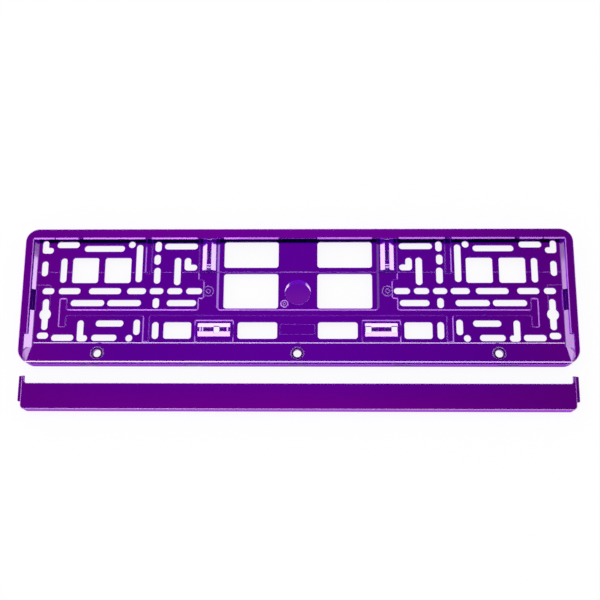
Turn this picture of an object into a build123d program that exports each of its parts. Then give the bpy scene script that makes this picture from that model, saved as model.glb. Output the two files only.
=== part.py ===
# Number plate holder: a slotted base frame and the strip that clips over its lower band.
# Millimetres. X runs along the plate, Y up the plate, Z out of the face. Both pieces lie face up.
from build123d import *
import math
import os

# Skin of both mouldings
WALL = 2.0
EDGE_ROUND = 0.7

# Heights of the base frame above its back
RIM_HEIGHT = 18.0
PANEL_HEIGHT = 10.0
CREST_HEIGHT = 15.0
LEDGE_HEIGHT = 14.0
CHANNEL_DEPTH = 0.8

# Rim round the plate
RIM_SIDE = 8.1
RIM_BACK = 6.4
CORNER_RADIUS = 13.5
SIDE_SLOPE = 36.0
SIDE_SLOPE_REACH = 3.7
SIDE_FOOT_RADIUS = 2.5
NOTCH_REACH = 3.4
NOTCH_LENGTH = 27.4
RIM_FALL_LENGTH = 16.0
RIM_BEVEL_WIDTH = 0.8
RIM_BEVEL_DROP = 0.7

# Lip that holds the plate's upper edge
LIP_REACH = 3.9
LIP_THICKNESS = 2.8
LIP_BEVEL = 1.2
LIP_GAP_REACH = 3.7

# Inclined band that the strip covers
BAND_WIDTH = 22.5
CREST_WIDTH = 2.4
CREST_BEVEL = 0.9
FOOT_STEP = 1.3
BAND_END_WIDTH = 3.6

# Pockets half way down the side walls
POCKET_LENGTH = 21.3
POCKET_DEPTH = 2.6
POCKET_ROUND = 2.4
POCKET_RISE = 31.7

# Rows of slots, each measured from the one below it, the first from the foot of the band
SLOT_WIDTH = 6.5
ROW_FOOT = 4.2
PITCH_LOW = 14.4
PITCH_CHANNEL = 10.8
PITCH_KEY = 9.9
PITCH_MIDDLE = 12.2
PITCH_SQUARE = 21.3
PITCH_TOP = 22.6
TOP_LAND = 11.5

# Middle of the panel, outwards from the centre line
CENTRE_BAY = 38.6
WINDOW_LENGTH = 53.8
WINDOW_RIB = 4.8
UPPER_WINDOW_HEIGHT = 26.8
MIDDLE_WINDOW_HEIGHT = 35.5
LOWER_WINDOW_HEIGHT = 16.8
LOWER_WINDOW_LENGTH = 38.7
LOWER_WINDOW_INSET = 0.6
UPPER_WINDOW_DROP = 6.7
MIDDLE_WINDOW_DROP = 0.1
LOWER_WINDOW_RISE = 7.4
SQUARE_WINDOW = 26.2
WINDOW_RADIUS = 2.6
SIDE_LAND = 3.7

# Recessed channels
SPRING_CHANNEL = 20.6
STIFFENER_CHANNEL = 6.8
CROSS_CHANNEL = 6.6
END_CHANNEL = 7.7
END_CHANNEL_LENGTH = 29.4
CHANNEL_RADIUS = 1.6
CHANNEL_SLOPE = 40.0
CHANNEL_WIDE_SIDE = 2.2
CHANNEL_JOG_LENGTH = 18.0
CHANNEL_JOG_DEPTH = 5.2
PAD_BOX_LENGTH = 38.3
PAD_BOX_HEIGHT = 22.0
PAD_BOX_INNER_LAND = 3.9
PAD_BOX_OUTER_LAND = 3.3
WINDOW_LAND = 4.8

# Sprung pads that the plate rests on
PAD_WIDTH = 13.2
PAD_OFFSET = 0.5
PAD_RISE = 2.6
PAD_TOP = 4.4
UPRIGHT_PAD_LENGTH = 33.7
LEVEL_PAD_LENGTH = 31.6
PAD_GROOVE_END = 0.6
PAD_HOLLOW_WIDTH = 3.4
PAD_HOLLOW_DEPTH = 3.0
UPRIGHT_HOLLOW_LENGTH = 9.4
UPRIGHT_HOLLOW_RISE = 14.6
LEVEL_HOLLOW_LENGTH = 6.4
PAD_CREASE_WIDTH = 1.4
PAD_CREASE_DEPTH = 0.42
PAD_CREASE_PITCH = 2.4
PAD_SLIT = 5.6
PAD_SLIT_HEIGHT = 7.0

# Keyholes at the ends of the panel
KEYHOLE_LENGTH = 31.5
KEYHOLE_WIDE = 11.6

# Screw holes in the inclined band
SCREW_PITCH = 194.5
SCREW_BORE = 7.8
SCREW_SEAT = 2.2
COLLAR_DIAMETER = 13.2
COLLAR_HEIGHT = 13.3
COUNTERSINK = 11.8
SCREW_FROM_EDGE = 10.5

# Marks moulded into the panel
WELL_RADIUS = 12.7
WELL_DEPTH = 4.2
MARK_DIAMETER = 10.0
MARK_LINE = 0.9
MARK_HEIGHT = 0.5
DISC_DIAMETER = 8.0
DISC_INSET = 2.2
BARE_FIELD_LENGTH = 34.0
BARE_FIELD_HEIGHT = 10.0
LINE_WIDTH = 0.6
LINE_RISE = 0.25

# Ribs on the back
RIB = 1.4
BAND_RIB_PITCH = 38.9

# Ledges on the lower wall
LUG_LENGTH = 19.0
LUG_REACH = 0.6
LUG_HEIGHT = 2.2
LUG_FROM_BACK = 4.0
LUG_PITCH = 102.0

# Retaining strip
STRIP_WIDTH = 25.2
STRIP_DEPTH = 15.0
STRIP_PLAY = 0.4
STRIP_CORNER = 4.0
STRIP_BACK_WALL = 7.0
STRIP_TAB_REACH = 3.2
STRIP_TAB_DROP = 2.5
STRIP_TAB_SETBACK = 7.6
STRIP_EAR_LENGTH = 7.2
STRIP_EAR_WIDTH = 2.3
STRIP_EAR_FILLET = 3.0
STRIP_EAR_THICKNESS = 3.5
STRIP_HOOK_LENGTH = 12.0
STRIP_HOOK_REACH = 1.2
STRIP_HOOK_HEIGHT = 1.6
STRIP_GAP = 19.0

# Row heights above the foot of the band
ROW_LOW = ROW_FOOT + PITCH_LOW
ROW_CHANNEL = ROW_LOW + PITCH_CHANNEL
ROW_KEY = ROW_CHANNEL + PITCH_KEY
ROW_MIDDLE = ROW_KEY + PITCH_MIDDLE
ROW_SQUARE = ROW_MIDDLE + PITCH_SQUARE
ROW_TOP = ROW_SQUARE + PITCH_TOP
PANEL_LENGTH_Y = ROW_TOP + TOP_LAND
ROW_WINDOW_LOW = ROW_FOOT + LOWER_WINDOW_RISE
ROW_WINDOW_MIDDLE = ROW_MIDDLE - MIDDLE_WINDOW_DROP
ROW_WINDOW_TOP = ROW_TOP - UPPER_WINDOW_DROP
ROW_LINE = ROW_SQUARE - 2.1

# Slots of one half: distance out from the slot field's inner edge, height above the foot, length
LEVEL_SLOTS = [
    (131.9, ROW_FOOT, 22.1), (91.0, ROW_FOOT, 25.0), (66.4, ROW_FOOT - 0.4, SLOT_WIDTH + 0.4),
    (151.5, ROW_FOOT + 2.1, 11.4), (86.1, ROW_LOW, 27.5),
    (16.1, ROW_KEY, 29.1), (72.8, ROW_KEY, 33.6), (109.1, ROW_KEY, 33.5),
    (3.9, ROW_MIDDLE, 15.9), (23.1, ROW_MIDDLE, 15.0), (41.3, ROW_MIDDLE, 14.0), (61.0, ROW_MIDDLE, 18.9),
    (92.3, ROW_MIDDLE, 32.2), (127.5, ROW_MIDDLE, 21.8), (148.6, ROW_MIDDLE, 12.0),
    (94.8, ROW_TOP, 40.5), (18.0, ROW_TOP + 2.3, 33.1), (131.4, ROW_TOP + 3.9, 22.6),
    (67.4, ROW_TOP + 4.1, SLOT_WIDTH + 0.4),
]
UPRIGHT_SLOTS = [
    (40.9, ROW_WINDOW_LOW, 17.2), (59.3, ROW_LOW - 3.8, 15.7), (41.4, ROW_KEY, 10.4),
    (41.1, ROW_SQUARE - 5.4, 16.7), (41.4, ROW_SQUARE + 11.1, 10.6), (21.0, ROW_SQUARE - 1.0, 28.6),
    (134.6, ROW_SQUARE, 25.5), (153.5, ROW_SQUARE + 1.8, 15.7), (40.9, ROW_TOP + 2.0, 10.7),
    (59.4, ROW_TOP - 15.3, 39.1),
]
# Corner slots: leg's distance out, foot of the leg, leg height, length of the foot towards the centre
CORNER_SLOTS = [
    (114.7, ROW_FOOT - 3.8, 21.5, 10.6), (11.0, ROW_SQUARE - 0.3, 13.4, 12.7),
    (154.1, ROW_TOP - 5.2, 13.4, 11.5),
]
SQUARE_WINDOWS = [80.4, 112.8]
KEYHOLE_OUT = 150.3
UPRIGHT_CHANNEL_OUT = 49.9
CROSS_CHANNEL_END = 132.9

# Places worked out from the sizes above
WINDOW_OUT = CENTRE_BAY / 2 + WINDOW_LENGTH / 2
SPRING_OUT = CENTRE_BAY / 2 + WINDOW_LENGTH + WINDOW_RIB + SPRING_CHANNEL / 2
FIELD_OUT = SPRING_OUT + SPRING_CHANNEL / 2
LOWER_WINDOW_OUT = CENTRE_BAY / 2 + LOWER_WINDOW_INSET + LOWER_WINDOW_LENGTH / 2
PAD_BOX_OUT = LOWER_WINDOW_OUT + LOWER_WINDOW_LENGTH / 2 + PAD_BOX_INNER_LAND + PAD_BOX_LENGTH / 2
OUTER_WINDOW_START = PAD_BOX_OUT + PAD_BOX_LENGTH / 2 + PAD_BOX_OUTER_LAND
OUTER_WINDOW_END = FIELD_OUT + UPRIGHT_SLOTS[0][0] - SLOT_WIDTH / 2 - WINDOW_LAND
OUTER_WINDOW_LENGTH = OUTER_WINDOW_END - OUTER_WINDOW_START
OUTER_WINDOW_OUT = (OUTER_WINDOW_START + OUTER_WINDOW_END) / 2
FOOT_OUT = FIELD_OUT + KEYHOLE_OUT + KEYHOLE_WIDE / 2 + SIDE_LAND + 0.8
OPENING_OUT = FOOT_OUT + SIDE_SLOPE_REACH
FRAME_LENGTH = 2 * (OPENING_OUT + RIM_SIDE)
FRAME_WIDTH = RIM_BACK + PANEL_LENGTH_Y + BAND_WIDTH
GROOVE_Y = FRAME_WIDTH / 2 - RIM_BACK
FOOT_Y = GROOVE_Y - PANEL_LENGTH_Y
BOTTOM_Y = -FRAME_WIDTH / 2
BAND_FOOT_Y = FOOT_Y - FOOT_STEP
CREST_Y = BOTTOM_Y + CREST_WIDTH
NOTCH_TOP_Y = CREST_Y + NOTCH_LENGTH
POCKET_Y = FOOT_Y + POCKET_RISE + POCKET_LENGTH / 2
CHANNEL_FLOOR = PANEL_HEIGHT - CHANNEL_DEPTH
PANEL_BACK = PANEL_HEIGHT - WALL
SCREW_Y = BOTTOM_Y + SCREW_FROM_EDGE
LIP_UNDERSIDE = RIM_HEIGHT - LIP_THICKNESS
SIDE_RISE = SIDE_SLOPE_REACH * math.tan(math.radians(SIDE_SLOPE))
NOTCH_RISE = (SIDE_SLOPE_REACH + NOTCH_REACH) * math.tan(math.radians(SIDE_SLOPE))
STRIP_LENGTH = 2 * (OPENING_OUT + NOTCH_REACH - STRIP_PLAY)
TOTAL_WIDTH = FRAME_WIDTH + STRIP_GAP + STRIP_WIDTH
FRAME_PLACE_Y = TOTAL_WIDTH / 2 - FRAME_WIDTH / 2
STRIP_PLACE_Y = STRIP_WIDTH / 2 - TOTAL_WIDTH / 2
OVERRUN = 2.0


def both_sides(sketch):
    """The sketch and its mirror image across the centre line."""
    return sketch + mirror(sketch, about=Plane.YZ)


def prism_along_x(points, length, middle=0.0):
    """A solid with the given (y, z) section, centred on x = middle."""
    section = make_face(Polyline(*[(0, y, z) for y, z in points], close=True))
    return Pos(middle - length / 2, 0, 0) * extrude(section, amount=length, dir=(1, 0, 0))


def prism_along_y(points, start, end, rounded=(), radius=0.0):
    """A solid with the given (x, z) section between two heights on the face, rounded at some corners."""
    section = make_face(Polyline(*points, close=True))
    if rounded:
        corners = [vertex for vertex in section.vertices()
                   if any(math.dist((vertex.X, vertex.Y), point) < 0.01 for point in rounded)]
        section = fillet(corners, radius)
    return Pos(0, start, 0) * extrude(Plane.XZ * section, amount=end - start, dir=(0, 1, 0))


def from_foot(height):
    """Y of a place measured up from the foot of the band."""
    return FOOT_Y + height


# Outer block of the frame, whose rim falls to the crest at the lower corners
def rim_profile(inset):
    """Side view of the rim: level along its length, then curving down to the ledge."""
    drop = RIM_HEIGHT - LEDGE_HEIGHT
    radius = (RIM_FALL_LENGTH ** 2 + drop ** 2) / (2 * drop)
    fall = BOTTOM_Y + RIM_FALL_LENGTH
    high = FRAME_WIDTH / 2 + OVERRUN
    length = FRAME_LENGTH + 2 * OVERRUN
    level = Pos(0, (fall + high) / 2, (RIM_HEIGHT - inset) / 2 - OVERRUN) * Box(
        length, high - fall, RIM_HEIGHT - inset + 2 * OVERRUN)
    curve = Pos(0, fall, RIM_HEIGHT - radius) * Rot(0, 90, 0) * Cylinder(radius - inset, length)
    return level + curve


def outer_block(inset, base):
    outline = RectangleRounded(FRAME_LENGTH - 2 * inset, FRAME_WIDTH - 2 * inset, CORNER_RADIUS - inset)
    return Pos(0, 0, base) * extrude(outline, amount=RIM_HEIGHT - base) & rim_profile(inset)


def rounded_block():
    """The outer block with its upper edges rounded."""
    block = outer_block(0, 0)
    upper = [edge for edge in block.edges() if edge.center().Z > LEDGE_HEIGHT - 0.5
             and (abs(edge.center().X) > 1 or abs(edge.center().Y) > FRAME_WIDTH / 2 - 1)]
    return fillet(upper, EDGE_ROUND)


# Open space in front of the panel, grown by a wall to make the space behind it
def side_prism(reach, growth, bevel, start, end):
    """The recess across the plate: floor, sloping foot and upright wall at each side."""
    slope = math.radians(SIDE_SLOPE)
    foot = (FOOT_OUT + growth * math.tan(slope / 2), PANEL_HEIGHT - growth)
    wall = FOOT_OUT + reach + growth
    wall_foot = PANEL_HEIGHT + reach * math.tan(slope) - growth * math.tan(math.radians(45) - slope / 2)
    half = [foot, (wall, wall_foot), (wall, RIM_HEIGHT - RIM_BEVEL_DROP), (wall + bevel, RIM_HEIGHT),
            (wall + bevel, RIM_HEIGHT + OVERRUN)]
    if not bevel:
        half.pop(3)
        half.pop(2)
    points = half + [(-x, z) for x, z in reversed(half)]
    return prism_along_y(points, start, end, (foot, (-foot[0], foot[1])), SIDE_FOOT_RADIUS + growth)


def face_section(growth):
    """Section of the recess up the plate: groove wall, floor, inclined band, crest and ledge."""
    rise = math.atan2(CREST_HEIGHT - CHANNEL_FLOOR, BAND_FOOT_Y - CREST_Y)
    shift = growth * math.tan(rise / 2)
    top = RIM_HEIGHT + OVERRUN
    ledge_y = CREST_Y - CREST_BEVEL
    return [(GROOVE_Y + growth, top), (GROOVE_Y + growth, PANEL_HEIGHT - growth), (FOOT_Y, PANEL_HEIGHT - growth),
            (BAND_FOOT_Y - shift, CHANNEL_FLOOR - growth), (CREST_Y - shift, CREST_HEIGHT - growth),
            (ledge_y - shift, LEDGE_HEIGHT - growth), (BOTTOM_Y - OVERRUN, LEDGE_HEIGHT - growth),
            (BOTTOM_Y - OVERRUN, top)]


def side_pockets(growth):
    """Deep gaps in the sloping feet, rounded over towards the panel."""
    length = POCKET_LENGTH + 2 * growth
    inner = FOOT_OUT - growth
    outer = OPENING_OUT + growth
    floor = PANEL_HEIGHT - POCKET_DEPTH - growth
    high = RIM_HEIGHT - WALL
    pocket = Pos((inner + outer) / 2, POCKET_Y, (floor + high) / 2) * Box(outer - inner, length, high - floor)
    if growth:
        return both_sides(pocket)
    corner = Pos(inner - POCKET_ROUND / 2, POCKET_Y, PANEL_HEIGHT - POCKET_ROUND / 2) * Box(
        POCKET_ROUND, length, POCKET_ROUND)
    corner -= Pos(inner - POCKET_ROUND, POCKET_Y, PANEL_HEIGHT - POCKET_ROUND) * Rot(90, 0, 0) * Cylinder(
        POCKET_ROUND, length)
    return both_sides(pocket + corner)


def tray(growth):
    middle = side_prism(SIDE_SLOPE_REACH, growth, RIM_BEVEL_WIDTH, NOTCH_TOP_Y - OVERRUN, GROOVE_Y + growth)
    lower = side_prism(SIDE_SLOPE_REACH + NOTCH_REACH, growth, 0, BOTTOM_Y - OVERRUN, NOTCH_TOP_Y + growth)
    face = prism_along_x(face_section(growth), FRAME_LENGTH)
    return (middle + lower) & face


def frame_shell():
    hollow = outer_block(WALL, -OVERRUN) - tray(WALL) - side_pockets(WALL)
    return rounded_block() - tray(0) - side_pockets(0) - hollow


def band_ends():
    """Wedges that carry the sloping feet up the inclined band to its crest."""
    wall = OPENING_OUT + NOTCH_REACH + WALL / 2
    rise = math.tan(math.radians(SIDE_SLOPE))
    crest_foot = OPENING_OUT + NOTCH_REACH - BAND_END_WIDTH
    sections = []
    for y, foot, floor in ((BAND_FOOT_Y, FOOT_OUT, CHANNEL_FLOOR), (CREST_Y, crest_foot, CREST_HEIGHT)):
        sections.append(make_face(Polyline((foot, y, floor - WALL / 2), (foot, y, floor),
                                           (wall, y, floor + (wall - foot) * rise), (wall, y, floor - WALL / 2),
                                           close=True)))
    wedge = loft(sections, ruled=True) & outer_block(0, 0)
    return both_sides(wedge)


# Lip along the upper wall, bevelled only above the openings that form it
def lip_bevels():
    """Start and end, out from the centre line, of each bevelled stretch of lip."""
    upright = FIELD_OUT + UPRIGHT_CHANNEL_OUT
    long_slot = FIELD_OUT + LEVEL_SLOTS[15][0]
    short_slot = FIELD_OUT + LEVEL_SLOTS[17][0]
    return [(CENTRE_BAY / 2, CENTRE_BAY / 2 + WINDOW_LENGTH),
            (FIELD_OUT + LIP_BEVEL, upright - STIFFENER_CHANNEL / 2),
            (upright + STIFFENER_CHANNEL / 2, long_slot + LEVEL_SLOTS[15][2] / 2),
            (short_slot - LEVEL_SLOTS[17][2] / 2, short_slot + LEVEL_SLOTS[17][2] / 2),
            (short_slot + LEVEL_SLOTS[17][2] / 2 + LIP_BEVEL, OPENING_OUT)]


def lip():
    root = GROOVE_Y + WALL / 2
    plain_nose = GROOVE_Y - LIP_GAP_REACH
    nose = GROOVE_Y - LIP_REACH
    bar = prism_along_x([(root, LIP_UNDERSIDE), (plain_nose, LIP_UNDERSIDE), (plain_nose, RIM_HEIGHT),
                         (root, RIM_HEIGHT)], 2 * OPENING_OUT + WALL)
    bevelled = [(root, LIP_UNDERSIDE), (nose, LIP_UNDERSIDE), (nose, RIM_HEIGHT - LIP_BEVEL),
                (nose + LIP_BEVEL, RIM_HEIGHT), (root, RIM_HEIGHT)]
    above = [(plain_nose - OVERRUN, LIP_UNDERSIDE - OVERRUN), (plain_nose + OVERRUN, LIP_UNDERSIDE - OVERRUN),
             (plain_nose + OVERRUN, RIM_HEIGHT + OVERRUN), (plain_nose - OVERRUN, RIM_HEIGHT + OVERRUN)]
    for start, end in lip_bevels():
        for side in (-1, 1):
            middle = side * (start + end) / 2
            bar -= prism_along_x(above, end - start, middle)
            bar += prism_along_x(bevelled, end - start, middle)
    return bar


# Channels let into the panel's face, with sloping sides
def channel_sketch():
    upright = FIELD_OUT + UPRIGHT_CHANNEL_OUT
    end = FIELD_OUT + CROSS_CHANNEL_END
    cross_y = from_foot(ROW_CHANNEL)
    spring_low = cross_y + CROSS_CHANNEL / 2 - 0.5
    spring_high = GROOVE_Y
    upright_low = from_foot(ROW_SQUARE - 4.2)
    half = Pos(SPRING_OUT, (spring_low + spring_high) / 2) * Rectangle(SPRING_CHANNEL, spring_high - spring_low)
    land_y = from_foot(ROW_MIDDLE + 2.0)
    half -= Pos(FIELD_OUT, land_y) * Rectangle(2 * CHANNEL_JOG_DEPTH, CHANNEL_JOG_LENGTH)
    half += Pos(upright, (upright_low + GROOVE_Y) / 2) * Rectangle(STIFFENER_CHANNEL, GROOVE_Y - upright_low)
    half += Pos(upright, (FOOT_Y + cross_y) / 2) * Rectangle(STIFFENER_CHANNEL, cross_y - FOOT_Y)
    half += Pos(end / 2, cross_y) * Rectangle(end, CROSS_CHANNEL)
    half += Pos(end, cross_y) * Rectangle(END_CHANNEL, END_CHANNEL_LENGTH)
    half += Pos(PAD_BOX_OUT, FOOT_Y + PAD_BOX_HEIGHT / 2) * Rectangle(PAD_BOX_LENGTH, PAD_BOX_HEIGHT)
    whole = both_sides(half)
    corners = [vertex for vertex in whole.vertices()
               if abs(vertex.Y - GROOVE_Y) > 0.1 and abs(vertex.Y - FOOT_Y) > 0.1]
    return fillet(corners, CHANNEL_RADIUS)


def channels():
    """The channels' cutters, narrower at their floor; the wide ones have one wider side."""
    cutters = Part()
    for face in channel_sketch().faces():
        cutters += Pos(0, 0, PANEL_HEIGHT) * extrude(face, amount=-CHANNEL_DEPTH, taper=90 - CHANNEL_SLOPE)
    inner = SPRING_OUT - SPRING_CHANNEL / 2
    start = from_foot(ROW_CHANNEL) + CROSS_CHANNEL / 2 + CHANNEL_RADIUS
    for side in (-1, 1):
        cutters -= prism_along_y([(side * inner, PANEL_HEIGHT), (side * inner, CHANNEL_FLOOR - CHANNEL_DEPTH),
                                  (side * (inner + 2 * CHANNEL_WIDE_SIDE), CHANNEL_FLOOR - CHANNEL_DEPTH)],
                                 start, GROOVE_Y)
    return cutters


# Sprung pads, ridges with sloping sides that lift the plate off the panel
def pad(length, hollow_length, hollow_places):
    """A ridge with bright sloping sides, creased near its ends, with deep hollows in its top."""
    half, top = PAD_WIDTH / 2, PAD_TOP / 2
    foot = -CHANNEL_DEPTH
    end = length / 2
    ridge = prism_along_y([(-half, foot), (half, foot), (half, 0), (top, PAD_RISE), (-top, PAD_RISE), (-half, 0)],
                          -end, end)
    for place in hollow_places:
        ridge -= hollow_cutter(hollow_length, place)
    for crease in (-end + PAD_CREASE_PITCH, -end + 2 * PAD_CREASE_PITCH, end - PAD_CREASE_PITCH):
        ridge -= prism_along_x([(crease - PAD_CREASE_WIDTH / 2, PAD_RISE), (crease, PAD_RISE - PAD_CREASE_DEPTH),
                                (crease + PAD_CREASE_WIDTH / 2, PAD_RISE)], PAD_TOP)
    return ridge


def hollow_cutter(length, place):
    half = PAD_HOLLOW_WIDTH / 2
    return prism_along_y([(-half, PAD_RISE), (half, PAD_RISE), (0, PAD_RISE - PAD_HOLLOW_DEPTH)],
                         place - length / 2, place + length / 2)


def pads():
    upright_y = GROOVE_Y - PAD_GROOVE_END - UPRIGHT_PAD_LENGTH / 2
    level_y = from_foot(ROW_WINDOW_LOW + PAD_OFFSET)
    upright = Pos(SPRING_OUT, upright_y, PANEL_HEIGHT) * pad(
        UPRIGHT_PAD_LENGTH, UPRIGHT_HOLLOW_LENGTH, [UPRIGHT_HOLLOW_RISE - UPRIGHT_PAD_LENGTH / 2])
    spread = LEVEL_HOLLOW_LENGTH + 1.6
    level = Pos(PAD_BOX_OUT, level_y, PANEL_HEIGHT) * Rot(0, 0, 90) * pad(
        LEVEL_PAD_LENGTH, LEVEL_HOLLOW_LENGTH, [-spread + 1.8, spread + 1.8 - 3.6])
    return both_sides(upright + level)


def pad_slits():
    """Open slits in the level pads: one near the middle at the left, one at each end at the right."""
    level_y = from_foot(ROW_WINDOW_LOW + PAD_OFFSET)
    end = LEVEL_PAD_LENGTH / 2 - PAD_SLIT / 2 - 0.4
    places = [-PAD_BOX_OUT + 2.5, PAD_BOX_OUT - end, PAD_BOX_OUT + end]
    slit = Rectangle(PAD_SLIT, PAD_SLIT_HEIGHT)
    return Sketch() + [Pos(x, level_y) * slit for x in places]


# Slots, windows and keyholes through the panel
def level_slot(length):
    if length < SLOT_WIDTH + 1.0:
        return Circle(length / 2)
    return SlotOverall(length, SLOT_WIDTH)


def corner_slot(leg, foot):
    """An L: its leg stands at the outer end and its foot points to the centre line."""
    upright = Pos(0, leg / 2) * Rot(0, 0, 90) * SlotOverall(leg, SLOT_WIDTH)
    level = Pos(SLOT_WIDTH / 2 - foot / 2, SLOT_WIDTH / 2) * SlotOverall(foot, SLOT_WIDTH)
    return upright + level


def keyhole():
    return Rot(0, 0, 90) * SlotOverall(KEYHOLE_LENGTH, SLOT_WIDTH) + Circle(KEYHOLE_WIDE / 2)


def window(length, height):
    return RectangleRounded(length, height, WINDOW_RADIUS)


def half_openings():
    shapes = [Pos(FIELD_OUT + x, from_foot(y)) * level_slot(length) for x, y, length in LEVEL_SLOTS]
    shapes += [Pos(FIELD_OUT + x, from_foot(y)) * Rot(0, 0, 90) * SlotOverall(length, SLOT_WIDTH)
               for x, y, length in UPRIGHT_SLOTS]
    shapes += [Pos(FIELD_OUT + x, from_foot(y)) * corner_slot(leg, foot) for x, y, leg, foot in CORNER_SLOTS]
    shapes += [Pos(FIELD_OUT + x, from_foot(ROW_SQUARE)) * window(SQUARE_WINDOW, SQUARE_WINDOW)
               for x in SQUARE_WINDOWS]
    shapes.append(Pos(FIELD_OUT + KEYHOLE_OUT, from_foot(ROW_CHANNEL - 1.7)) * keyhole())
    shapes.append(Pos(WINDOW_OUT, from_foot(ROW_WINDOW_TOP)) * window(WINDOW_LENGTH, UPPER_WINDOW_HEIGHT))
    shapes.append(Pos(WINDOW_OUT, from_foot(ROW_WINDOW_MIDDLE)) * window(WINDOW_LENGTH, MIDDLE_WINDOW_HEIGHT))
    shapes.append(Pos(LOWER_WINDOW_OUT, from_foot(ROW_WINDOW_LOW)) * window(LOWER_WINDOW_LENGTH, LOWER_WINDOW_HEIGHT))
    shapes.append(Pos(OUTER_WINDOW_OUT, from_foot(ROW_WINDOW_LOW)) * window(OUTER_WINDOW_LENGTH,
                                                                        LOWER_WINDOW_HEIGHT))
    return Sketch() + shapes


def openings():
    sketch = both_sides(half_openings()) + pad_slits()
    depth = LIP_UNDERSIDE + OVERRUN
    return Pos(0, 0, -OVERRUN) * extrude(sketch, amount=depth - 0.5)


# Marks moulded into the face
def gate_well():
    """A shallow dish round the place where the plastic was fed in."""
    sphere = (WELL_RADIUS ** 2 + WELL_DEPTH ** 2) / (2 * WELL_DEPTH)
    centre = Vector(0, from_foot(ROW_MIDDLE - 1.4), PANEL_HEIGHT - WELL_DEPTH + sphere)
    dish = Pos(centre) * Sphere(sphere)
    back = Pos(centre.X, centre.Y, PANEL_BACK - WELL_DEPTH) * extrude(Circle(WELL_RADIUS + WALL / 2),
                                                                   amount=WELL_DEPTH + WALL / 2)
    return back, dish


def ring_ridge(radius):
    """A low ring with a peaked top, lying on the plane z = 0."""
    half = MARK_LINE / 2
    section = make_face(Polyline((radius - half, 0, 0), (radius, 0, MARK_HEIGHT), (radius + half, 0, 0), close=True))
    return revolve(section, Axis.Z)


def ring_marks():
    rings = ring_ridge(MARK_DIAMETER / 2) + ring_ridge(MARK_DIAMETER / 5)
    return both_sides(Pos(SPRING_OUT, from_foot(ROW_MIDDLE), CHANNEL_FLOOR) * rings)


def raised_lines():
    """Fine lines left by the joints of the mould."""
    start = CENTRE_BAY / 2 - 2.0
    long_line = Pos((start + FOOT_OUT) / 2, from_foot(ROW_LINE), PANEL_HEIGHT) * Box(
        FOOT_OUT - start, LINE_WIDTH, 2 * LINE_RISE)
    box_out = FIELD_OUT + KEYHOLE_OUT - SLOT_WIDTH / 2 - 0.8
    box_high = from_foot(ROW_MIDDLE + 6.1)
    box_low = from_foot(ROW_CHANNEL)
    level = Pos((box_out + FOOT_OUT) / 2, box_high, PANEL_HEIGHT) * Box(
        FOOT_OUT - box_out, LINE_WIDTH, 2 * LINE_RISE)
    upright = Pos(box_out, (box_high + box_low) / 2, PANEL_HEIGHT) * Box(
        LINE_WIDTH, box_high - box_low, 2 * LINE_RISE)
    return both_sides(long_line + level + upright)


def bare_field():
    """The bare raised field under the cross channel."""
    place = Pos(0, from_foot(ROW_WINDOW_LOW + 1.0), PANEL_HEIGHT - LINE_RISE)
    field = place * extrude(Rectangle(BARE_FIELD_LENGTH, BARE_FIELD_HEIGHT), amount=2 * LINE_RISE)
    disc_place = Pos(-CENTRE_BAY / 2 + DISC_DIAMETER / 2 + DISC_INSET, from_foot(ROW_KEY - 1.0), PANEL_HEIGHT - LINE_RISE)
    button = disc_place * extrude(Circle(DISC_DIAMETER / 2), amount=2 * LINE_RISE)
    rings = ring_ridge(DISC_DIAMETER / 2 - MARK_LINE / 2) + ring_ridge(DISC_DIAMETER / 5)
    place = Pos(disc_place.position.X, disc_place.position.Y, PANEL_HEIGHT + LINE_RISE)
    return field + button + place * rings


# Screw collars in the inclined band
def screw_places():
    return [(place * SCREW_PITCH, SCREW_Y) for place in (-1, 0, 1)]


def collars():
    return Part() + [Pos(x, y, 0) * extrude(Circle(COLLAR_DIAMETER / 2), amount=COLLAR_HEIGHT)
                     for x, y in screw_places()]


def screw_bores():
    bores = Part()
    for x, y in screw_places():
        bores += Pos(x, y, -OVERRUN) * extrude(Circle(SCREW_BORE / 2), amount=RIM_HEIGHT + OVERRUN)
        depth = (COUNTERSINK - SCREW_BORE) / 2
        relief = COLLAR_HEIGHT - depth - SCREW_SEAT
        bores += Pos(x, y, relief / 2 - OVERRUN / 2) * Cylinder(COLLAR_DIAMETER / 2 - WALL, relief + OVERRUN)
        bores += Pos(x, y, COLLAR_HEIGHT - depth / 2) * Cone(SCREW_BORE / 2, COUNTERSINK / 2, depth)
        bores += Pos(x, y, COLLAR_HEIGHT + OVERRUN / 2) * Cylinder(COUNTERSINK / 2, OVERRUN)
    return bores


# Stiffening ribs on the back, flush with the rim's back edge
def back_ribs():
    reach = FIELD_OUT + CROSS_CHANNEL_END
    rib_height = PANEL_BACK + WALL / 2
    ribs = Part()
    for offset in (-CROSS_CHANNEL / 2, CROSS_CHANNEL / 2):
        ribs += Pos(0, from_foot(ROW_CHANNEL) + offset * 0.5, rib_height / 2) * Box(2 * reach, RIB, rib_height)
    window_side = SPRING_OUT - SPRING_CHANNEL / 2 - RIB
    upright = FIELD_OUT + UPRIGHT_CHANNEL_OUT
    low, high = from_foot(ROW_CHANNEL), GROOVE_Y + WALL / 2
    for place in (window_side, upright):
        rib = Pos(place, (low + high) / 2, rib_height / 2) * Box(RIB, high - low, rib_height)
        ribs += both_sides(rib)
    low_rib = Pos(upright, (BAND_FOOT_Y + low) / 2, rib_height / 2) * Box(RIB, low - BAND_FOOT_Y, rib_height)
    ribs += both_sides(low_rib)
    return ribs


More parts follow.
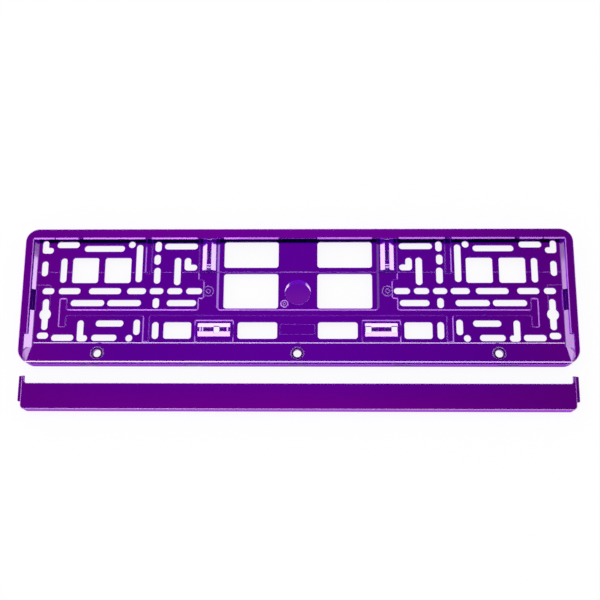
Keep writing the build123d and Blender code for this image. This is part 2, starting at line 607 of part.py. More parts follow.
def band_ribs():
    """Gussets in the hollow behind the inclined band."""
    count = int((FOOT_OUT - COLLAR_DIAMETER) / BAND_RIB_PITCH)
    places = [BAND_RIB_PITCH * (step + 0.5) for step in range(count)]
    under = CREST_HEIGHT - WALL / 2
    section = [(BAND_FOOT_Y + WALL, 0), (BOTTOM_Y + WALL / 2, 0), (BOTTOM_Y + WALL / 2, under),
               (CREST_Y, under), (BAND_FOOT_Y, CHANNEL_FLOOR - WALL / 2), (BAND_FOOT_Y + WALL, PANEL_BACK)]
    return Part() + [prism_along_x(section, RIB, side * place) for place in places for side in (-1, 1)]


def lugs():
    """Small ledges on the lower wall that the strip's hooks catch."""
    section = [(BOTTOM_Y + WALL / 2, LUG_FROM_BACK), (BOTTOM_Y - LUG_REACH, LUG_FROM_BACK),
               (BOTTOM_Y - LUG_REACH, LUG_FROM_BACK + LUG_HEIGHT / 2), (BOTTOM_Y + WALL / 2, LUG_FROM_BACK + LUG_HEIGHT)]
    return Part() + [prism_along_x(section, LUG_LENGTH, step * LUG_PITCH) for step in (-2, -1, 0, 1, 2)]


def base_frame():
    back, dish = gate_well()
    solid = frame_shell() + band_ends() + lip() + raised_lines()
    solid -= channels()
    solid += pads()
    solid += bare_field()
    solid += ring_marks()
    solid += back
    solid += back_ribs()
    solid += band_ribs()
    solid += collars()
    solid += lugs()
    solid -= dish
    solid -= openings()
    solid -= screw_bores()
    return Pos(0, FRAME_PLACE_Y, 0) * solid


# Retaining strip: a face with ears at its ends, a deep front wall and side tabs
def strip_face():
    corners = RectangleRounded(STRIP_LENGTH, STRIP_WIDTH, STRIP_CORNER)
    upper = Pos(0, STRIP_WIDTH / 4) * Rectangle(STRIP_LENGTH, STRIP_WIDTH / 2)
    ear_x = STRIP_LENGTH / 2 - STRIP_EAR_WIDTH / 2
    ear = Pos(ear_x, STRIP_WIDTH / 2 + STRIP_EAR_LENGTH / 2) * Rectangle(STRIP_EAR_WIDTH, STRIP_EAR_LENGTH)
    face = corners + upper + both_sides(ear)
    inner = [vertex for vertex in face.vertices()
             if abs(vertex.Y - STRIP_WIDTH / 2) < 0.1 and abs(abs(vertex.X) - ear_x) < STRIP_EAR_WIDTH]
    return fillet(inner, STRIP_EAR_FILLET)


def strip_body():
    body = extrude(strip_face(), amount=STRIP_DEPTH)
    upper = [edge for edge in body.edges() if edge.center().Z > STRIP_DEPTH - 0.1]
    body = fillet(upper, EDGE_ROUND)
    inside = Pos(0, 0, -OVERRUN) * extrude(
        RectangleRounded(STRIP_LENGTH - 2 * WALL, STRIP_WIDTH - 2 * WALL, STRIP_CORNER - WALL),
        amount=STRIP_DEPTH - WALL + OVERRUN)
    body -= inside
    back_y = STRIP_WIDTH / 2
    below_back = STRIP_DEPTH - STRIP_BACK_WALL
    body -= Pos(0, back_y, below_back / 2) * Box(STRIP_LENGTH - 2 * STRIP_EAR_WIDTH - 2 * STRIP_EAR_FILLET,
                                                4 * WALL, below_back)
    below_ears = STRIP_DEPTH - STRIP_EAR_THICKNESS
    body -= Pos(0, back_y + STRIP_EAR_LENGTH - WALL, below_ears / 2) * Box(STRIP_LENGTH, 2 * STRIP_EAR_LENGTH,
                                                                         below_ears)
    return body


def strip_tabs():
    top = STRIP_DEPTH - STRIP_TAB_DROP
    high = STRIP_WIDTH / 2 + STRIP_EAR_LENGTH
    low = -STRIP_WIDTH / 2 + STRIP_TAB_SETBACK
    flat = Pos(STRIP_LENGTH / 2 + STRIP_TAB_REACH / 2 - WALL / 4, (high + low) / 2, top - WALL / 2) * Box(
        STRIP_TAB_REACH + WALL / 2, high - low, WALL)
    outer = [edge for edge in flat.edges() if abs(edge.center().X - STRIP_LENGTH / 2 - STRIP_TAB_REACH) < 0.1
             and abs(edge.center().Z - top + WALL / 2) < 0.1]
    return both_sides(fillet(outer, WALL / 2))


def strip_hooks():
    """Catches inside the front wall, one for each ledge of the frame."""
    wall = -STRIP_WIDTH / 2 + WALL / 2
    nose = -STRIP_WIDTH / 2 + WALL + STRIP_HOOK_REACH
    section = [(wall, 0), (nose - STRIP_HOOK_REACH / 2, 0), (nose, STRIP_HOOK_HEIGHT / 2), (nose, STRIP_HOOK_HEIGHT),
               (wall, STRIP_HOOK_HEIGHT)]
    return Part() + [prism_along_x(section, STRIP_HOOK_LENGTH, step * LUG_PITCH) for step in (-2, -1, 0, 1, 2)]


def retaining_strip():
    return Pos(0, STRIP_PLACE_Y, 0) * (strip_body() + strip_tabs() + strip_hooks())


os.makedirs("parts", exist_ok=True)
export_step(base_frame(), "parts/base_frame.step")
export_step(retaining_strip(), "parts/retaining_strip.step")
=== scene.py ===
import math
import bmesh
import bpy
from mathutils import Matrix, Vector


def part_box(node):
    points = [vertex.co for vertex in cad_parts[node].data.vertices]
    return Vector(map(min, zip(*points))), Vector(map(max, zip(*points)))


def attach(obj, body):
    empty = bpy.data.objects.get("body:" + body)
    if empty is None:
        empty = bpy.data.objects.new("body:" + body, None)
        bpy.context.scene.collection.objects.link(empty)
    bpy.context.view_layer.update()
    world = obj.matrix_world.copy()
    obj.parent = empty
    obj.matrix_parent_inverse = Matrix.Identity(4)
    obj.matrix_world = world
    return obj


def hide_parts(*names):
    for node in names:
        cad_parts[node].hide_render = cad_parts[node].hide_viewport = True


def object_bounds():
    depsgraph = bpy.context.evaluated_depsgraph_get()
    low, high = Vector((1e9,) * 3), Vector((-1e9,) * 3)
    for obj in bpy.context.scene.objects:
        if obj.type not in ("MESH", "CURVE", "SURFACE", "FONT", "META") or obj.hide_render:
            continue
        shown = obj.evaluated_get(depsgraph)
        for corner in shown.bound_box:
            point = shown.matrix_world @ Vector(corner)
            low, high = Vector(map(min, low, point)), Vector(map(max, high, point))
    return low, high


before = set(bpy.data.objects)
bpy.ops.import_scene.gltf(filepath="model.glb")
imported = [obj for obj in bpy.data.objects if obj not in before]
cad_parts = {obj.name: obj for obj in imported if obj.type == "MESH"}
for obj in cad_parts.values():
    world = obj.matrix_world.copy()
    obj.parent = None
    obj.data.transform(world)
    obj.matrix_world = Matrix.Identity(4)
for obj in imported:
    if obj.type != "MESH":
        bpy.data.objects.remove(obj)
cad_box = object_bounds()

MM = 0.001
UPPER_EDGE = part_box("base_frame")[1][1]
STRIP_LOW_EDGE = cad_box[0][1]


# Helpers for shader nodes
def new_node(tree, kind, **values):
    node = tree.nodes.new(kind)
    for name, value in values.items():
        setattr(node, name, value)
    return node


def link(tree, start, end):
    tree.links.new(start, end)


def noise(tree, vector, scale, detail, roughness):
    node = new_node(tree, "ShaderNodeTexNoise")
    node.inputs["Scale"].default_value = scale
    node.inputs["Detail"].default_value = detail
    node.inputs["Roughness"].default_value = roughness
    link(tree, vector, node.inputs["Vector"])
    return node.outputs["Fac"]


def spread(tree, value, low, high, to_low, to_high):
    """Stretch a value from one range to another, held at both ends."""
    node = new_node(tree, "ShaderNodeMapRange")
    node.inputs["From Min"].default_value = low
    node.inputs["From Max"].default_value = high
    node.inputs["To Min"].default_value = to_low
    node.inputs["To Max"].default_value = to_high
    link(tree, value, node.inputs["Value"])
    return node.outputs["Result"]


def maths(tree, operation, first, second):
    node = new_node(tree, "ShaderNodeMath", operation=operation)
    for socket, value in zip(node.inputs, (first, second)):
        if isinstance(value, (int, float)):
            socket.default_value = value
        else:
            link(tree, value, socket)
    return node.outputs["Value"]


def blend(tree, factor, first, second):
    """Mix two colours, each written as numbers or taken from a socket."""
    node = new_node(tree, "ShaderNodeMix", data_type="RGBA")
    for name, value in (("A", first), ("B", second)):
        if isinstance(value, tuple):
            node.inputs[name].default_value = (*value, 1)
        else:
            link(tree, value, node.inputs[name])
    link(tree, factor, node.inputs["Factor"])
    return node.outputs["Result"]


def axes(tree, vector):
    node = new_node(tree, "ShaderNodeSeparateXYZ")
    link(tree, vector, node.inputs["Vector"])
    return node.outputs


# How far a face looks up, from 0 for an upright face to 1 for a level one
UPRIGHT = (0.1, 0.45)
SLOPING = (0.15, 0.45)
GENTLE = (0.79, 0.83)
PALER = (0.80, 0.84)
LEVEL = (0.925, 0.955)

# Heights, and lengths from the middle, over which the plastic changes
ABOVE_PANEL = (10.1 * MM, 10.3 * MM)
BELOW_RIM = (15.0 * MM, 15.4 * MM)
PANEL_TO_RIM = (15.2 * MM, 15.8 * MM)
MIDDLE_TO_END = (170 * MM, 270 * MM)

# Shades and gloss of the lacquered plastic
# Upright faces get a paler purple blended in, a painted sheen standing in for the floor they mirror
UPRIGHT_PAINTED_SHEEN = (0.30, 0.004, 0.70)
PAINTED_SHEEN_SHARE = 0.6
CLOUD_SHADE = (0.06, 0.0, 0.22)
CLOUD_SHARE = 0.10
SLOPING_TINT = (0.6, 0.10, 0.85)
PALE_TINT = (0.95, 0.5, 1.0)
UPRIGHT_PLASTIC = 0.1
CHANNEL_COAT = 0.32
COAT_ROUGHNESS = 0.04
BODY_ROUGHNESS = (0.07, 0.11)
PLASTIC_METAL = 0.08
BRIGHT_IOR = 2.0
DULL_IOR = 1.2
EDGE_ROUNDING = 0.3 * MM
RIPPLE_STRENGTH = 0.10
RIPPLE_DEPTH = 0.05 * MM
NOISE_REACH = (0.3, 0.7)


def clouded_shade(tree, place, first, second, ends, axis, reach):
    """One shade turning into another along an axis and into a third at the ends, faintly clouded."""
    along = axes(tree, place)
    shade = blend(tree, spread(tree, along[axis], *reach, 0.0, 1.0), first, second)
    outward = maths(tree, "ABSOLUTE", along["X"], 0.0)
    shade = blend(tree, spread(tree, outward, *MIDDLE_TO_END, 0.0, 1.0), shade, ends)
    clouds = noise(tree, place, scale=14.0, detail=3.0, roughness=0.6)
    return blend(tree, spread(tree, clouds, *NOISE_REACH, 0.0, CLOUD_SHARE), shade, CLOUD_SHADE)


def plastic_share(tree, upward):
    """Plastic rather than metal: 1 on a sloping face, 0 on a level one and little on an upright one."""
    level = spread(tree, upward, *LEVEL, 0.0, 1.0)
    sloping = spread(tree, upward, *SLOPING, UPRIGHT_PLASTIC, 1.0)
    return maths(tree, "MULTIPLY", maths(tree, "SUBTRACT", 1.0, level), sloping)


def coat_brightness(tree, height, upward):
    """1 on gentle slopes and between panel and rim, low on the channels' sides and the rim's bevel."""
    above_panel = spread(tree, height, *ABOVE_PANEL, CHANNEL_COAT, 1.0)
    below_rim = spread(tree, height, *BELOW_RIM, 1.0, CHANNEL_COAT)
    gentle = spread(tree, upward, *GENTLE, CHANNEL_COAT, 1.0)
    return maths(tree, "MAXIMUM", gentle, maths(tree, "MINIMUM", above_panel, below_rim))


def rippled(tree, place, normal):
    """A face's direction, made very slightly uneven."""
    bump = new_node(tree, "ShaderNodeBump")
    bump.inputs["Strength"].default_value = RIPPLE_STRENGTH
    bump.inputs["Distance"].default_value = RIPPLE_DEPTH
    link(tree, noise(tree, place, scale=260.0, detail=1.0, roughness=0.4), bump.inputs["Height"])
    link(tree, normal, bump.inputs["Normal"])
    return bump.outputs["Normal"]


def purple_plastic(name, first, second, ends, axis="Z", reach=PANEL_TO_RIM, coated=True):
    """Gloss purple: level faces mirror like metal, sloping ones like plastic under a clear coat."""
    material = bpy.data.materials.new(name)
    material.use_nodes = True
    tree = material.node_tree
    tree.nodes.clear()
    out = new_node(tree, "ShaderNodeOutputMaterial")
    shader = new_node(tree, "ShaderNodeBsdfPrincipled")
    link(tree, shader.outputs["BSDF"], out.inputs["Surface"])
    place = new_node(tree, "ShaderNodeTexCoord").outputs["Object"]
    edges = new_node(tree, "ShaderNodeBevel", samples=4)
    edges.inputs["Radius"].default_value = EDGE_ROUNDING
    upward = axes(tree, edges.outputs["Normal"])["Z"]
    normal = rippled(tree, place, edges.outputs["Normal"])
    link(tree, normal, shader.inputs["Normal"])

    # Painted sheen: upright faces are blended towards a paler purple, standing in for the floor they
    # mirror
    upright = spread(tree, upward, *UPRIGHT, PAINTED_SHEEN_SHARE, 0.0)
    shade = clouded_shade(tree, place, first, second, ends, axis, reach)
    link(tree, blend(tree, upright, shade, UPRIGHT_PAINTED_SHEEN), shader.inputs["Base Color"])
    paler = spread(tree, upward, *PALER, 0.0, 1.0)
    link(tree, blend(tree, paler, SLOPING_TINT, PALE_TINT), shader.inputs["Specular Tint"])
    polish = noise(tree, place, scale=60.0, detail=2.0, roughness=0.5)
    link(tree, spread(tree, polish, *NOISE_REACH, *BODY_ROUGHNESS), shader.inputs["Roughness"])
    plastic = plastic_share(tree, upward)
    link(tree, spread(tree, plastic, 0.0, 1.0, 1.0, PLASTIC_METAL), shader.inputs["Metallic"])
    shader.inputs["IOR"].default_value = BRIGHT_IOR if coated else DULL_IOR

    if coated:
        bright = coat_brightness(tree, axes(tree, place)["Z"], upward)
        link(tree, maths(tree, "MULTIPLY", plastic, bright), shader.inputs["Coat Weight"])
        link(tree, normal, shader.inputs["Coat Normal"])
        shader.inputs["Coat Roughness"].default_value = COAT_ROUGHNESS
        shader.inputs["Coat IOR"].default_value = BRIGHT_IOR
    return material


def even_plastic(name, shade, coated=True):
    """The same plastic in one shade from end to end."""
    return purple_plastic(name, shade, shade, shade, coated=coated)


frame_purple = purple_plastic("frame_purple", first=(0.104, 0.0004, 0.300), second=(0.156, 0.001, 0.300),
                              ends=(0.135, 0.0006, 0.262))
# The collar seats are painted dark: painted shade inside the screw collars
seat_painted_shade = even_plastic("seat_painted_shade", (0.045, 0.0, 0.080))
# Painted shading: the dish floor is lighter than the panel and darker towards its upper edge, where it
# falls
dish_painted_shading = purple_plastic("dish_painted_shading", first=(0.13, 0.004, 0.36), second=(0.155, 0.007, 0.35),
                             ends=(0.13, 0.004, 0.36), axis="Y",
                             reach=(UPPER_EDGE - 58 * MM, UPPER_EDGE - 68 * MM))
# Painted sheen: the dish wall's lining is a dull, paler violet in place of the reflection on that wall
dish_wall_painted_sheen = even_plastic("dish_wall_painted_sheen", (0.13, 0.0, 0.50), coated=False)
# Painted highlight: the small disc's rings are painted pale lilac
disc_painted_highlight = even_plastic("disc_painted_highlight", (0.36, 0.10, 0.60))
strip_purple = purple_plastic("strip_purple", first=(0.147, 0.0006, 0.245), second=(0.114, 0.0004, 0.280),
                              ends=(0.13, 0.0006, 0.24), axis="Y",
                              reach=(STRIP_LOW_EDGE, STRIP_LOW_EDGE + 26 * MM))


def finish_with(piece, material):
    piece.data.materials.clear()
    piece.data.materials.append(material)


finish_with(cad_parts["base_frame"], frame_purple)
finish_with(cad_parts["retaining_strip"], strip_purple)


# Helpers for modelling
def select_nothing():
    bpy.ops.object.select_all(action="DESELECT")


def select_only(piece):
    select_nothing()
    piece.select_set(True)
    bpy.context.view_layer.objects.active = piece


def edit_all():
    """Open the active piece for editing, with all of it selected."""
    bpy.ops.object.mode_set(mode="EDIT")
    bpy.ops.mesh.select_all(action="SELECT")


def stop_editing():
    bpy.ops.object.mode_set(mode="OBJECT")


def place_in_mesh(piece, name):
    """Give a new piece its name and put its place into its mesh."""
    select_only(piece)
    bpy.ops.object.transform_apply(location=True, rotation=True, scale=True)
    piece.name = name
    piece.data.name = name
    return piece


def hold(piece, material):
    """Finish a new piece and let it ride with the holder."""
    finish_with(piece, material)
    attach(piece, "root")


def apply_modifier(piece, modifier):
    select_only(piece)
    bpy.ops.object.modifier_apply(modifier=modifier.name)


def thicken(piece, thickness, offset):
    """Give a thin piece its wall: behind its face at offset -1, on both sides of it at 0."""
    wall = piece.modifiers.new("wall", "SOLIDIFY")
    wall.thickness = thickness
    wall.offset = offset
    apply_modifier(piece, wall)


def cut_away(piece, cutter):
    """Take the cutter's form out of the piece."""
    cut = piece.modifiers.new("cut", "BOOLEAN")
    cut.operation = "DIFFERENCE"
    cut.solver = "EXACT"
    cut.object = cutter
    apply_modifier(piece, cut)
    bpy.data.objects.remove(cutter)


RING_HEIGHT_TO_WIDTH = 1.3


def ring_bead(name, radius, bead_radius, place, material):
    """A rounded ring that stands proud of a face, a little higher than it is wide."""
    select_nothing()
    bpy.ops.mesh.primitive_torus_add(major_segments=64, minor_segments=10, major_radius=radius,
                                     minor_radius=bead_radius, location=place)
    edit_all()
    bpy.ops.transform.resize(value=(1, 1, RING_HEIGHT_TO_WIDTH))
    stop_editing()
    bpy.ops.object.shade_smooth()
    hold(place_in_mesh(bpy.context.object, name), material)


# Sizes and places of the frame moulding
PANEL_HEIGHT = 10.0 * MM
PANEL_FOOT_Y = UPPER_EDGE - 113.3 * MM
PANEL_FOOT_LENGTH = 516.6 * MM
BAND_SLOPE = 0.30851
BAND_FOOT_SETBACK = 1.3 * MM
BAND_FOOT_HEIGHT = 9.2 * MM
STEP_SETBACK = 0.5 * MM
STEP_WIDTH = 0.75 * MM
STEP_DEPTH = 0.45 * MM
STEP_CUT_PROUD = 0.02 * MM
FRONT_Y = UPPER_EDGE - 135.8 * MM
LEDGE_HEIGHT = 12.9 * MM
LEDGE_WIDTH = 1.5 * MM
SCREW_Y = UPPER_EDGE - 125.3 * MM
SCREW_PITCH = 194.5 * MM
SCREW_PLACES = (-SCREW_PITCH, 0.0, SCREW_PITCH)
COLLAR_FOOT = 9.3 * MM
COLLAR_RADIUS = 6.8 * MM
MERGE_DISTANCE = 0.001 * MM
ROUND_WALL_TURN = math.radians(34.0)
LEVEL_TURN = math.radians(3.0)
LEVEL_NORMAL = 0.999


def foot_step_cutter():
    """A long shallow trough between the panel and the inclined band."""
    select_nothing()
    bpy.ops.mesh.primitive_cube_add(size=1, location=(0, PANEL_FOOT_Y, PANEL_HEIGHT),
                                    scale=(PANEL_FOOT_LENGTH, 1, 1))
    cutter = place_in_mesh(bpy.context.object, "step_cutter")
    top = PANEL_HEIGHT + STEP_CUT_PROUD
    bottom = PANEL_HEIGHT - STEP_DEPTH
    band_foot = PANEL_FOOT_Y - BAND_FOOT_SETBACK
    for corner in cutter.data.vertices:
        high = corner.co.z > PANEL_HEIGHT
        if corner.co.y > PANEL_FOOT_Y:
            corner.co.y = PANEL_FOOT_Y - STEP_SETBACK - (0 if high else STEP_WIDTH)
        else:
            corner.co.y = band_foot - ((top if high else bottom) - BAND_FOOT_HEIGHT) / BAND_SLOPE
        corner.co.z = top if high else bottom
    return cutter


def ledge_cutter():
    """A bar along the front that lowers the ledge before the crest."""
    select_nothing()
    bpy.ops.mesh.primitive_cube_add(size=1, location=(0, FRONT_Y, LEDGE_HEIGHT + LEDGE_WIDTH),
                                    scale=(PANEL_FOOT_LENGTH, 2 * LEDGE_WIDTH, 2 * LEDGE_WIDTH))
    return place_in_mesh(bpy.context.object, "ledge_cutter")


def collar_cutter(x):
    """The open space below a screw collar, where the band is hollow."""
    select_nothing()
    bpy.ops.mesh.primitive_cylinder_add(vertices=48, radius=COLLAR_RADIUS, depth=2 * COLLAR_FOOT,
                                        location=(x, SCREW_Y, 0))
    return place_in_mesh(bpy.context.object, "collar_cutter")


def mark_creases(piece):
    """Smooth the round walls, keep every edge of a level face sharp and every flat face flat."""
    select_only(piece)
    bpy.ops.object.shade_smooth()
    bpy.ops.object.mode_set(mode="EDIT")
    bpy.ops.mesh.select_mode(type="EDGE")
    bpy.ops.mesh.select_all(action="DESELECT")
    mesh = bmesh.from_edit_mesh(piece.data)
    for edge in mesh.edges:
        turn = edge.calc_face_angle(math.pi)
        level = any(face.normal.z > LEVEL_NORMAL for face in edge.link_faces)
        edge.select = turn > (LEVEL_TURN if level else ROUND_WALL_TURN)
    bmesh.update_edit_mesh(piece.data)
    bpy.ops.mesh.mark_sharp()
    stop_editing()
    flats = piece.modifiers.new("flats", "WEIGHTED_NORMAL")
    flats.keep_sharp = True
    flats.weight = 100
    apply_modifier(piece, flats)


def frame_moulding():
    """The base frame with a step at the foot of its band and with short screw collars."""
    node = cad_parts["base_frame"]
    piece = node.copy()
    piece.data = node.data.copy()
    piece.parent = None
    # The copy is a piece of its own, without what the node carries for the frame
    for key in list(piece.keys()):
        del piece[key]
    bpy.context.scene.collection.objects.link(piece)
    place_in_mesh(piece, "frame_moulding")
    edit_all()
    bpy.ops.mesh.remove_doubles(threshold=MERGE_DISTANCE)
    stop_editing()
    cut_away(piece, foot_step_cutter())
    cut_away(piece, ledge_cutter())
    for x in SCREW_PLACES:
        cut_away(piece, collar_cutter(x))
    mark_creases(piece)
    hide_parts("base_frame")
    hold(piece, frame_purple)


frame_moulding()

# Seats and rounded upper edges of the screw collars
COLLAR_TOP = 13.3 * MM
COLLAR_RING_RADIUS = 6.1 * MM
COLLAR_BEAD_RADIUS = 0.35 * MM
SEAT_TOP = 12.6 * MM
SEAT_BORE_RADIUS = 3.9 * MM
SEAT_RADIUS = 5.3 * MM
SEAT_THICKNESS = 1.2 * MM


def collar_seat(x, name):
    """A flat ring in a screw collar, under the head of the screw, dark with painted shade."""
    select_nothing()
    bpy.ops.mesh.primitive_circle_add(vertices=64, radius=SEAT_BORE_RADIUS, fill_type="NOTHING",
                                      location=(x, SCREW_Y, SEAT_TOP))
    edit_all()
    bpy.ops.mesh.extrude_edges_move()
    outward = SEAT_RADIUS / SEAT_BORE_RADIUS
    bpy.ops.transform.resize(value=(outward, outward, 1))
    bpy.ops.mesh.select_all(action="SELECT")
    bpy.ops.mesh.normals_make_consistent(inside=False)
    stop_editing()
    piece = place_in_mesh(bpy.context.object, name)
    thicken(piece, SEAT_THICKNESS, offset=-1)
    hold(piece, seat_painted_shade)


for number, x in enumerate(SCREW_PLACES, start=1):
    collar_seat(x, f"collar_seat_{number}")
    ring_bead(f"collar_ring_{number}", COLLAR_RING_RADIUS, COLLAR_BEAD_RADIUS, (x, SCREW_Y, COLLAR_TOP),
              frame_purple)

# Rings on the two marks and on the small disc
MARK_X = 88.2 * MM
MARK_Y = UPPER_EDGE - 61.8 * MM
MARK_Z = 9.3 * MM
MARK_OUTER_RADIUS = 5.0 * MM
MARK_INNER_RADIUS = 2.0 * MM
MARK_BEAD_RADIUS = 0.4 * MM
DISC_RING_LIFT = 0.25 * MM
DISC_PLACE = (-13.1 * MM, UPPER_EDGE - 75.0 * MM, PANEL_HEIGHT + DISC_RING_LIFT)
DISC_OUTER_RADIUS = 3.3 * MM
DISC_OUTER_BEAD_RADIUS = 0.7 * MM
DISC_INNER_RADIUS = 1.3 * MM

for side, x in (("left", -MARK_X), ("right", MARK_X)):
    mark_place = (x, MARK_Y, MARK_Z)
    ring_bead(f"{side}_mark_outer", MARK_OUTER_RADIUS, MARK_BEAD_RADIUS, mark_place, frame_purple)
    ring_bead(f"{side}_mark_inner", MARK_INNER_RADIUS, MARK_BEAD_RADIUS, mark_place, frame_purple)
# The disc's rings carry a painted highlight in their pale lilac
ring_bead("disc_mark_outer", DISC_OUTER_RADIUS, DISC_OUTER_BEAD_RADIUS, DISC_PLACE, disc_painted_highlight)
ring_bead("disc_mark_inner", DISC_INNER_RADIUS, MARK_BEAD_RADIUS, DISC_PLACE, disc_painted_highlight)

# Round gate dish in the middle of the panel
DISH_Y = UPPER_EDGE - 63.2 * MM
DISH_RADIUS = 12.6 * MM
DISH_FALL = 2.2 * MM
DISH_FLOOR_THICKNESS = 0.6 * MM
DISH_WALL_OUTSIDE = 0.25 * MM
DISH_WALL_PROUD = 0.03 * MM
DISH_WALL_START = 0.80 * DISH_RADIUS
DISH_WALL_REACH = 4.2 * MM
DISH_WALL_THICKNESS = 0.3 * MM


def dish_floor():
    """The floor of the gate dish, level below and falling towards its upper edge, with painted shading.
    """
    select_nothing()
    bpy.ops.mesh.primitive_circle_add(vertices=96, radius=DISH_RADIUS, fill_type="NGON",
                                      location=(0, DISH_Y, PANEL_HEIGHT))
    edit_all()
    bpy.ops.mesh.bisect(plane_co=(0, DISH_Y, PANEL_HEIGHT), plane_no=(0, 1, 0))
    stop_editing()
    piece = place_in_mesh(bpy.context.object, "dish_floor")
    for corner in piece.data.vertices:
        corner.co.z -= max(0, corner.co.y - DISH_Y) / DISH_RADIUS * DISH_FALL
    thicken(piece, DISH_FLOOR_THICKNESS, offset=-1)
    hold(piece, dish_painted_shading)


def dish_wall():
    """The dull part of the dish's wall, between its two bright ends, lined in a painted violet sheen."""
    select_nothing()
    bpy.ops.mesh.primitive_circle_add(vertices=96, radius=DISH_RADIUS + DISH_WALL_OUTSIDE,
                                      fill_type="NOTHING",
                                      location=(0, DISH_Y, PANEL_HEIGHT + DISH_WALL_PROUD))
    piece = place_in_mesh(bpy.context.object, "dish_wall")
    bpy.ops.object.mode_set(mode="EDIT")
    bpy.ops.mesh.select_mode(type="VERT")
    bpy.ops.mesh.select_all(action="DESELECT")
    stop_editing()
    for corner in piece.data.vertices:
        corner.select = corner.co.y - DISH_Y < DISH_WALL_START
    bpy.ops.object.mode_set(mode="EDIT")
    bpy.ops.mesh.delete(type="VERT")
    bpy.ops.mesh.select_all(action="SELECT")
    bpy.ops.mesh.extrude_edges_move(
        TRANSFORM_OT_translate={"value": (0, -DISH_WALL_REACH, -DISH_FALL)})
    bpy.ops.mesh.select_all(action="SELECT")
    bpy.ops.mesh.normals_make_consistent(inside=True)
    stop_editing()
    thicken(piece, DISH_WALL_THICKNESS, offset=0)
    hold(piece, dish_wall_painted_sheen)


dish_floor()
dish_wall()

# Fine joint line across the middle bay
CENTRE_LINE_Y = UPPER_EDGE - 42.6 * MM
CENTRE_LINE_SIZE = (36.0 * MM, 0.9 * MM, 0.8 * MM)
CENTRE_LINE_BEVEL = 0.3 * MM


def centre_line():
    """The mould's joint line where it crosses the middle bay."""
    select_nothing()
    bpy.ops.mesh.primitive_cube_add(size=1, location=(0, CENTRE_LINE_Y, PANEL_HEIGHT),
                                    scale=CENTRE_LINE_SIZE)
    edit_all()
    bpy.ops.mesh.bevel(offset=CENTRE_LINE_BEVEL, segments=2)
    stop_editing()
    hold(place_in_mesh(bpy.context.object, "centre_line"), frame_purple)


centre_line()

# Pale floor, white to the eye but still dimmed by the holder's shadow
FLOOR_SIZE = 8.0
FLOOR_DROP = 0.05 * MM
FLOOR_SHADE = (0.93, 0.93, 0.93, 1)
FLOOR_GLOW_SHARE = 0.88


def seen(tree):
    """1 for a ray from the camera or from a mirror or glass, otherwise 0."""
    path = new_node(tree, "ShaderNodeLightPath")
    direct = maths(tree, "ADD", path.outputs["Is Camera Ray"], path.outputs["Is Glossy Ray"])
    return maths(tree, "MINIMUM", maths(tree, "ADD", direct, path.outputs["Is Transmission Ray"]), 1.0)


def pale_floor():
    select_nothing()
    bpy.ops.mesh.primitive_plane_add(size=FLOOR_SIZE, location=(0, 0, -FLOOR_DROP))
    floor = bpy.context.object
    floor.name = "floor"
    material = bpy.data.materials.new("floor_white")
    material.use_nodes = True
    tree = material.node_tree
    tree.nodes.clear()
    out = new_node(tree, "ShaderNodeOutputMaterial")
    dull = new_node(tree, "ShaderNodeBsdfDiffuse")
    dull.inputs["Color"].default_value = FLOOR_SHADE
    glow = new_node(tree, "ShaderNodeEmission")
    glow.inputs["Strength"].default_value = 1.0
    mix = new_node(tree, "ShaderNodeMixShader")
    link(tree, maths(tree, "MULTIPLY", seen(tree), FLOOR_GLOW_SHARE), mix.inputs["Fac"])
    link(tree, dull.outputs["BSDF"], mix.inputs[1])
    link(tree, glow.outputs["Emission"], mix.inputs[2])
    link(tree, mix.outputs["Shader"], out.inputs["Surface"])
    floor.data.materials.append(material)


pale_floor()


# Studio light, soft boxes placed in metres
def soft_box(name, place, target, size, brightness, mirrored=True):
    """A lamp as bright at any size, mirrored in the gloss or else only lighting dull surfaces."""
    data = bpy.data.lights.new(name, "AREA")
    data.shape = "RECTANGLE"
    data.size, data.size_y = size
    data.energy = brightness * math.pi * size[0] * size[1]
    lamp = bpy.data.objects.new(name, data)
    bpy.context.scene.collection.objects.link(lamp)
    lamp.location = place
    lamp.rotation_euler = (Vector(target) - Vector(place)).to_track_quat("-Z", "Y").to_euler()
    lamp.visible_glossy = mirrored
    lamp.visible_diffuse = not mirrored
    lamp.visible_camera = False


soft_box("light_left", (-1.25, -0.19, 0.45), (-1.0, -0.19, 0.45), (1.6, 0.9), 3.4)
soft_box("light_left_high", (-1.25, -0.19, 1.1), (-1.0, -0.19, 1.0), (1.6, 0.4), 1.3)
soft_box("light_right", (1.25, -0.19, 0.76), (1.0, -0.19, 0.76), (1.6, 0.72), 3.4)
soft_box("light_left_back", (-1.25, 1.15, 0.84), (-1.0, 1.15, 0.84), (0.9, 0.6), 1.9)
soft_box("light_right_back", (1.25, 1.15, 0.84), (1.0, 1.15, 0.84), (0.9, 0.6), 1.9)
soft_box("light_front", (0, -1.1, 1.05), (0, 0, 0), (1.6, 0.35), 3.6)
soft_box("light_front_left", (-0.62, -1.25, 0.4), (-0.62, 0, 0.4), (0.9, 0.7), 5.4)
soft_box("light_front_middle", (0.04, -1.25, 0.4), (0.04, 0, 0.4), (0.42, 0.7), 3.6)
soft_box("light_front_right", (0.66, -1.25, 0.4), (0.66, 0, 0.4), (0.82, 0.7), 3.5)
soft_box("light_back", (0, 1.4, 0.38), (0, 0, 0.38), (2.8, 0.7), 3.9)
soft_box("light_above", (-0.3, 0.2, 1.8), (0, 0, 0), (1.4, 1.4), 1.3, mirrored=False)

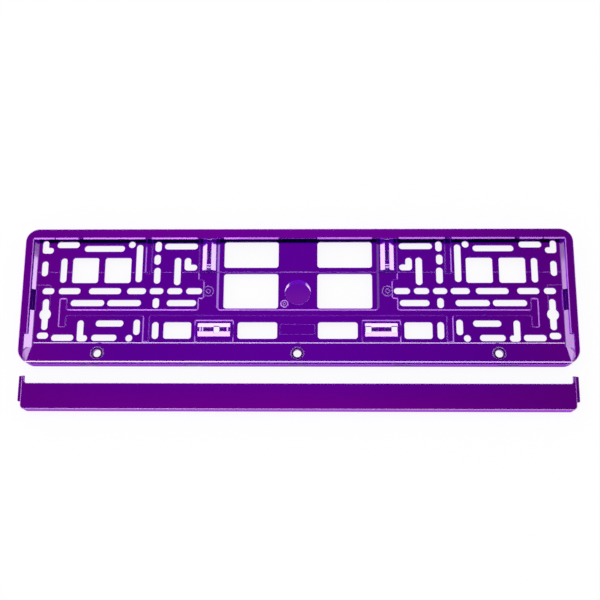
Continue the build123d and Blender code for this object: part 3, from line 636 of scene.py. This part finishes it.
# White surroundings, mirrored a little dimmer on the left and dimmer still on the right
SEEN_WHITE = (1.0, 1.0, 1.0)
LIGHTING_WHITE = (0.9, 0.9, 0.9)
LEFT_REACH = (-0.28, 0.0)
LEFT_WHITE = 0.91
RIGHT_REACH = (0.0, 0.24)
RIGHT_WHITE = 0.70


def surroundings():
    world = bpy.data.worlds.new("studio")
    bpy.context.scene.world = world
    world.use_nodes = True
    tree = world.node_tree
    path = new_node(tree, "ShaderNodeLightPath")
    side = axes(tree, new_node(tree, "ShaderNodeTexCoord").outputs["Generated"])["X"]
    left = spread(tree, side, *LEFT_REACH, LEFT_WHITE, 1.0)
    right = spread(tree, side, *RIGHT_REACH, 1.0, RIGHT_WHITE)
    mirrored = maths(tree, "MULTIPLY", left, right)
    unseen = blend(tree, path.outputs["Is Glossy Ray"], LIGHTING_WHITE, mirrored)
    colour = blend(tree, path.outputs["Is Camera Ray"], unseen, SEEN_WHITE)
    link(tree, colour, tree.nodes["Background"].inputs["Color"])


surroundings()

# Camera at the photograph's angle
ELEVATION = math.radians(75.0)
AZIMUTH = math.radians(5.188)
ROLL = math.radians(-5.023)
DISTANCE = 1.0486
TARGET = Vector((1.99 * MM, UPPER_EDGE - 68.43 * MM, 0))
FOCAL_PIXELS = 1057.1
IMAGE_PIXELS = 600
SENSOR_WIDTH = 36.0
NEAREST_SEEN = 0.05


def photo_camera():
    data = bpy.data.cameras.new("camera")
    camera = bpy.data.objects.new("camera", data)
    bpy.context.scene.collection.objects.link(camera)
    away = Vector((math.cos(ELEVATION) * math.sin(AZIMUTH), -math.cos(ELEVATION) * math.cos(AZIMUTH),
                   math.sin(ELEVATION)))
    level = Vector((0, 0, 1)).cross(away).normalized()
    upright = away.cross(level)
    right = math.cos(ROLL) * level + math.sin(ROLL) * upright
    up = -math.sin(ROLL) * level + math.cos(ROLL) * upright
    turn = Matrix((right, up, away)).transposed()
    camera.matrix_world = Matrix.Translation(TARGET + DISTANCE * away) @ turn.to_4x4()
    data.sensor_width = SENSOR_WIDTH
    data.lens = FOCAL_PIXELS / IMAGE_PIXELS * SENSOR_WIDTH
    data.clip_start = NEAREST_SEEN
    bpy.context.scene.camera = camera


photo_camera()
bpy.context.scene.view_settings.view_transform = "Standard"

bpy.context.view_layer.update()
